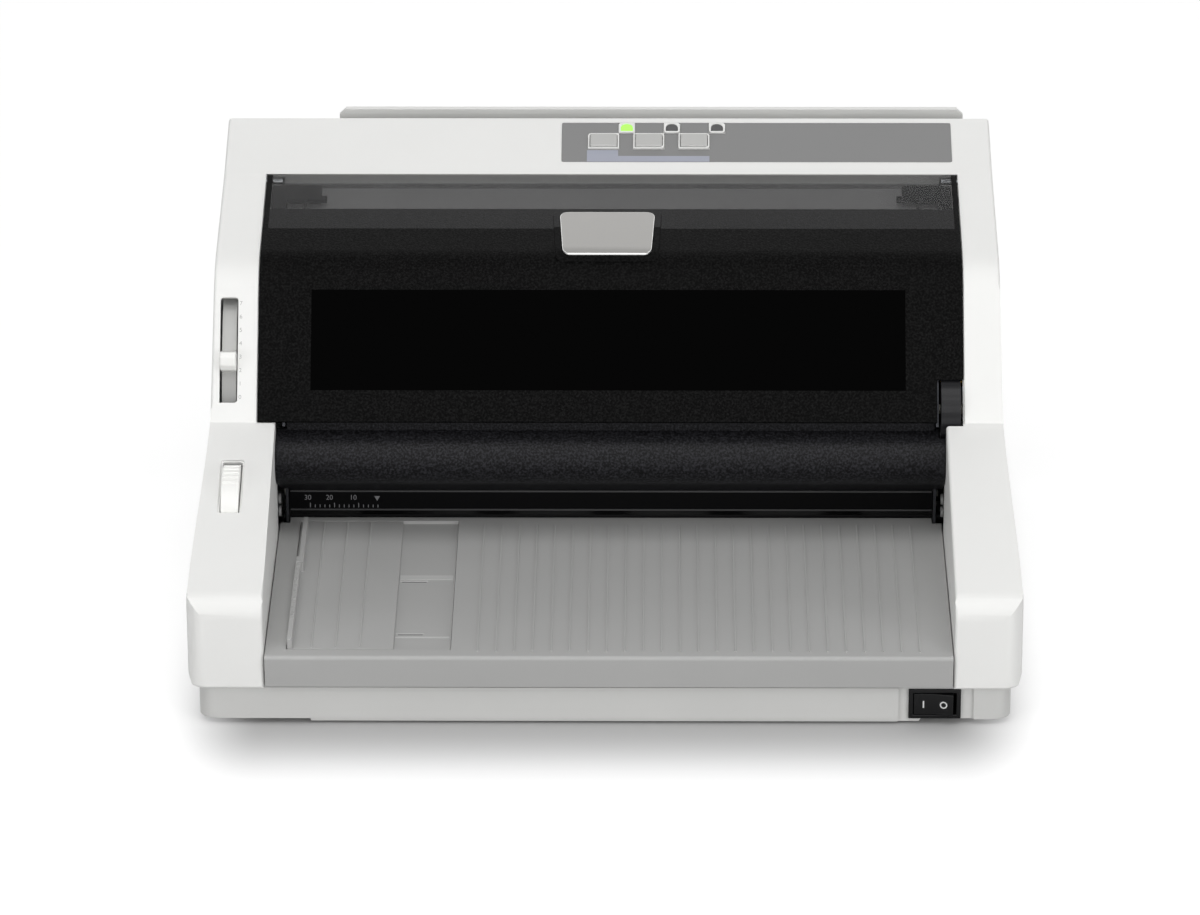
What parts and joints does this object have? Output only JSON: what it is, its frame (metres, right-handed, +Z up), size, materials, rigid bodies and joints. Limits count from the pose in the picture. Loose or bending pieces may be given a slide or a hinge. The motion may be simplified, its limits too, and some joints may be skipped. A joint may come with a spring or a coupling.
{
  "type": "dot matrix printer",
  "caption": "Flatbed dot matrix printer with a smoked hinged cover, slotted sheet tray with sliding edge guide, push tractors and a geared paper feed behind a rear sheet guide.",
  "frame": {"origin": "middle of the printer's outline in X and Y, on the plane that its rubber feet stand on", "axes": "+X to the right seen from the front, +Y from the paper tray to the back, +Z up"},
  "size_m": [0.415, 0.345, 0.2198],
  "materials": {
    "case_white": "fine moulded grain",
    "base_grey": "fine moulded grain",
    "tray_grey": "fine moulded grain",
    "panel_grey": "matt printed film",
    "button_grey": "satin moulded",
    "lens_green": "clear moulded",
    "board_green": "solder mask",
    "smoked_cover": "smoked, polished in the window and grained around it",
    "steel_bright": "ground bar",
    "steel_sheet": "zinc plated sheet",
    "badge_silver": "brushed and anodised",
    "cover_black": "coarse moulded grain",
    "lever_white": "satin moulded",
    "switch_black": "satin moulded",
    "knob_black": "knurled",
    "guide_grey": "fine moulded grain",
    "gear_acetal": "natural acetal",
    "foot_rubber": "soft",
    "roller_rubber": "ground",
    "pinch_plastic": "moulded",
    "tractor_black": "moulded",
    "flap_blue": "moulded",
    "motor_dark": "black passivated",
    "pinion_brass": "cut",
    "head_metal": "die cast",
    "ribbon_ink": "inked nylon",
    "belt_rubber": "moulded",
    "port_metal": "plated shell"
  },
  "bodies": {
    "printer_frame": {"base_pan": "base_grey", "rubber_feet": "foot_rubber", "upper_case": "case_white", "control_panel": "panel_grey", "indicator_lenses": "lens_green", "panel_board": "board_green", "lower_front_cover": "cover_black", "entry_scale_strip": "cover_black", "sheet_tray": "tray_grey", "power_switch_body": "switch_black", "chassis_floor": "steel_sheet", "left_side_plate": "steel_sheet", "right_side_plate": "steel_sheet", "gear_studs": "steel_bright", "paper_guide_plate": "steel_sheet", "tractor_guide_rod": "steel_bright", "line_feed_motor": "motor_dark", "rear_rail": "steel_sheet", "ribbon_cartridge": "tractor_black", "ink_ribbon": "ribbon_ink", "carriage_motor": "motor_dark", "timing_belt": "belt_rubber", "main_board": "board_green", "power_supply": "board_green", "ac_inlet": "switch_black", "data_ports": "port_metal"},
    "cover": {"acoustic_cover": "smoked_cover", "cover_hinge_pins": "steel_bright", "badge_plate": "badge_silver"},
    "button_left": {"left_button": "button_grey"},
    "button_middle": {"middle_button": "button_grey"},
    "button_right": {"right_button": "button_grey"},
    "rocker": {"power_switch_rocker": "switch_black"},
    "gap_lever": {"thickness_lever": "lever_white", "carriage_shaft": "steel_bright"},
    "select_lever": {"paper_select_lever": "lever_white"},
    "edge_guide": {"sheet_guide": "tray_grey"},
    "rear_guide": {"rear_sheet_guide": "guide_grey"},
    "platen": {"platen_roller": "roller_rubber", "platen_gear": "gear_acetal"},
    "knob": {"feed_knob": "knob_black", "knob_gear": "gear_acetal"},
    "upper_idler": {"upper_idler_gear": "gear_acetal"},
    "lower_idler": {"lower_idler_gear": "gear_acetal"},
    "rear_idler": {"rear_idler_gear": "gear_acetal"},
    "tractor_idler": {"tractor_idler_gear": "gear_acetal"},
    "pinion": {"motor_pinion": "pinion_brass"},
    "front_feed": {"front_feed_roller": "roller_rubber"},
    "rear_feed": {"rear_feed_roller": "roller_rubber"},
    "front_pinch": {"front_pinch_roller": "pinch_plastic"},
    "rear_pinch": {"rear_pinch_roller": "pinch_plastic"},
    "tractor_drive": {"tractor_shaft": "steel_bright"},
    "tractor_left": {"left_tractor": "tractor_black"},
    "tractor_right": {"right_tractor": "tractor_black"},
    "flap_left": {"left_tractor_flap": "flap_blue"},
    "flap_right": {"right_tractor_flap": "flap_blue"},
    "carriage_body": {"carriage": "tractor_black", "print_head": "head_metal"},
    "pulley_drive": {"drive_pulley": "gear_acetal"},
    "pulley_idler": {"idler_pulley": "gear_acetal"}
  },
  "joints": [
    {"name": "platen_turn", "type": "hinge", "parent": "printer_frame", "child": "platen", "pos_m": [0.002, 0.0325, 0.039], "axis": [1, 0, 0], "continuous": true},
    {"name": "cover_hinge", "type": "hinge", "parent": "printer_frame", "child": "cover", "pos_m": [0.002, 0.075, 0.19819], "axis": [-1, 0, 0], "range_deg": [0, 75]},
    {"name": "left_button_press", "type": "slide", "parent": "printer_frame", "child": "button_left", "axis": [0, 0.3649, -0.9311], "range_m": [0, 0.001], "stiffness_N_per_m": 400, "springref_m": -0.001},
    {"name": "middle_button_press", "type": "slide", "parent": "printer_frame", "child": "button_middle", "axis": [0, 0.3649, -0.9311], "range_m": [0, 0.001], "stiffness_N_per_m": 400, "springref_m": -0.001},
    {"name": "right_button_press", "type": "slide", "parent": "printer_frame", "child": "button_right", "axis": [0, 0.3649, -0.9311], "range_m": [0, 0.001], "stiffness_N_per_m": 400, "springref_m": -0.001},
    {"name": "rocker_tilt", "type": "hinge", "parent": "printer_frame", "child": "rocker", "pos_m": [0.1643, -0.1633, 0.01135], "axis": [0, 0, 1], "range_deg": [0, 12]},
    {"name": "gap_lever_turn", "type": "hinge", "parent": "printer_frame", "child": "gap_lever", "pos_m": [0.002, 0.05046, 0.09442], "axis": [1, 0, 0], "range_deg": [-17.5, 9.3]},
    {"name": "select_lever_turn", "type": "hinge", "parent": "printer_frame", "child": "select_lever", "pos_m": [-0.1894, -0.08289, 0.0758], "axis": [1, 0, 0], "range_deg": [0, 26]},
    {"name": "edge_guide_slide", "type": "slide", "parent": "printer_frame", "child": "edge_guide", "axis": [1, 0, 0], "range_m": [0, 0.028]},
    {"name": "rear_guide_hinge", "type": "hinge", "parent": "printer_frame", "child": "rear_guide", "pos_m": [0.002, 0.16498, 0.11811], "axis": [-1, 0, 0], "range_deg": [0, 60]},
    {"name": "carriage_slide", "type": "slide", "parent": "printer_frame", "child": "carriage_body", "axis": [1, 0, 0], "range_m": [0, 0.21]},
    {"name": "left_tractor_slide", "type": "slide", "parent": "printer_frame", "child": "tractor_left", "axis": [1, 0, 0], "range_m": [-0.015, 0.02]},
    {"name": "right_tractor_slide", "type": "slide", "parent": "printer_frame", "child": "tractor_right", "axis": [1, 0, 0], "range_m": [-0.04, 0.015]},
    {"name": "left_flap_hinge", "type": "hinge", "parent": "tractor_left", "child": "flap_left", "pos_m": [-0.1262, 0.12082, 0.0544], "axis": [0, -1, 0], "range_deg": [0, 100]},
    {"name": "right_flap_hinge", "type": "hinge", "parent": "tractor_right", "child": "flap_right", "pos_m": [0.1302, 0.12082, 0.0544], "axis": [0, 1, 0], "range_deg": [0, 100]},
    {"name": "lower_idler_turn", "type": "hinge", "parent": "printer_frame", "child": "lower_idler", "pos_m": [0.002, 0.01155, 0.0645], "axis": [1, 0, 0], "continuous": true},
    {"name": "upper_idler_turn", "type": "hinge", "parent": "printer_frame", "child": "upper_idler", "pos_m": [0.002, -0.01034, 0.09116], "axis": [1, 0, 0], "continuous": true},
    {"name": "feed_knob_turn", "type": "hinge", "parent": "printer_frame", "child": "knob", "pos_m": [0.002, -0.02748, 0.11202], "axis": [1, 0, 0], "continuous": true},
    {"name": "motor_pinion_turn", "type": "hinge", "parent": "printer_frame", "child": "pinion", "pos_m": [0.002, -0.00336, 0.11724], "axis": [1, 0, 0], "continuous": true},
    {"name": "front_feed_turn", "type": "hinge", "parent": "printer_frame", "child": "front_feed", "pos_m": [0.002, -0.00628, 0.04227], "axis": [1, 0, 0], "continuous": true},
    {"name": "rear_idler_turn", "type": "hinge", "parent": "printer_frame", "child": "rear_idler", "pos_m": [0.002, 0.05794, 0.04079], "axis": [1, 0, 0], "continuous": true},
    {"name": "rear_feed_turn", "type": "hinge", "parent": "printer_frame", "child": "rear_feed", "pos_m": [0.002, 0.07888, 0.04227], "axis": [1, 0, 0], "continuous": true},
    {"name": "tractor_idler_turn", "type": "hinge", "parent": "printer_frame", "child": "tractor_idler", "pos_m": [0.002, 0.09985, 0.04114], "axis": [1, 0, 0], "continuous": true},
    {"name": "tractor_shaft_turn", "type": "hinge", "parent": "printer_frame", "child": "tractor_drive", "pos_m": [0.002, 0.12082, 0.04], "axis": [1, 0, 0], "continuous": true},
    {"name": "front_pinch_turn", "type": "hinge", "parent": "printer_frame", "child": "front_pinch", "pos_m": [0.002, -0.00628, 0.0563], "axis": [1, 0, 0], "continuous": true},
    {"name": "rear_pinch_turn", "type": "hinge", "parent": "printer_frame", "child": "rear_pinch", "pos_m": [0.002, 0.07888, 0.0563], "axis": [1, 0, 0], "continuous": true},
    {"name": "drive_pulley_turn", "type": "hinge", "parent": "printer_frame", "child": "pulley_drive", "pos_m": [-0.15, 0.08846, 0.085], "axis": [0, 0, 1], "range_deg": [0, 1510]},
    {"name": "idler_pulley_turn", "type": "hinge", "parent": "printer_frame", "child": "pulley_idler", "pos_m": [0.154, 0.08846, 0.085], "axis": [0, 0, 1], "range_deg": [0, 1510]}
  ],
  "couplings": [
    {"joint": "lower_idler_turn", "follows": "platen_turn", "ratio": -1},
    {"joint": "upper_idler_turn", "follows": "platen_turn", "ratio": 0.91667},
    {"joint": "feed_knob_turn", "follows": "platen_turn", "ratio": -1.8333},
    {"joint": "motor_pinion_turn", "follows": "platen_turn", "ratio": -1.8333},
    {"joint": "front_feed_turn", "follows": "platen_turn", "ratio": 1.375},
    {"joint": "rear_idler_turn", "follows": "platen_turn", "ratio": -1.8333},
    {"joint": "rear_feed_turn", "follows": "platen_turn", "ratio": 1.375},
    {"joint": "tractor_idler_turn", "follows": "platen_turn", "ratio": -1.8333},
    {"joint": "tractor_shaft_turn", "follows": "platen_turn", "ratio": 1.375},
    {"joint": "front_pinch_turn", "follows": "platen_turn", "ratio": -2.4},
    {"joint": "rear_pinch_turn", "follows": "platen_turn", "ratio": -2.4},
    {"joint": "drive_pulley_turn", "follows": "carriage_slide", "rad_per_m": 125},
    {"joint": "idler_pulley_turn", "follows": "carriage_slide", "rad_per_m": 125}
  ]
}
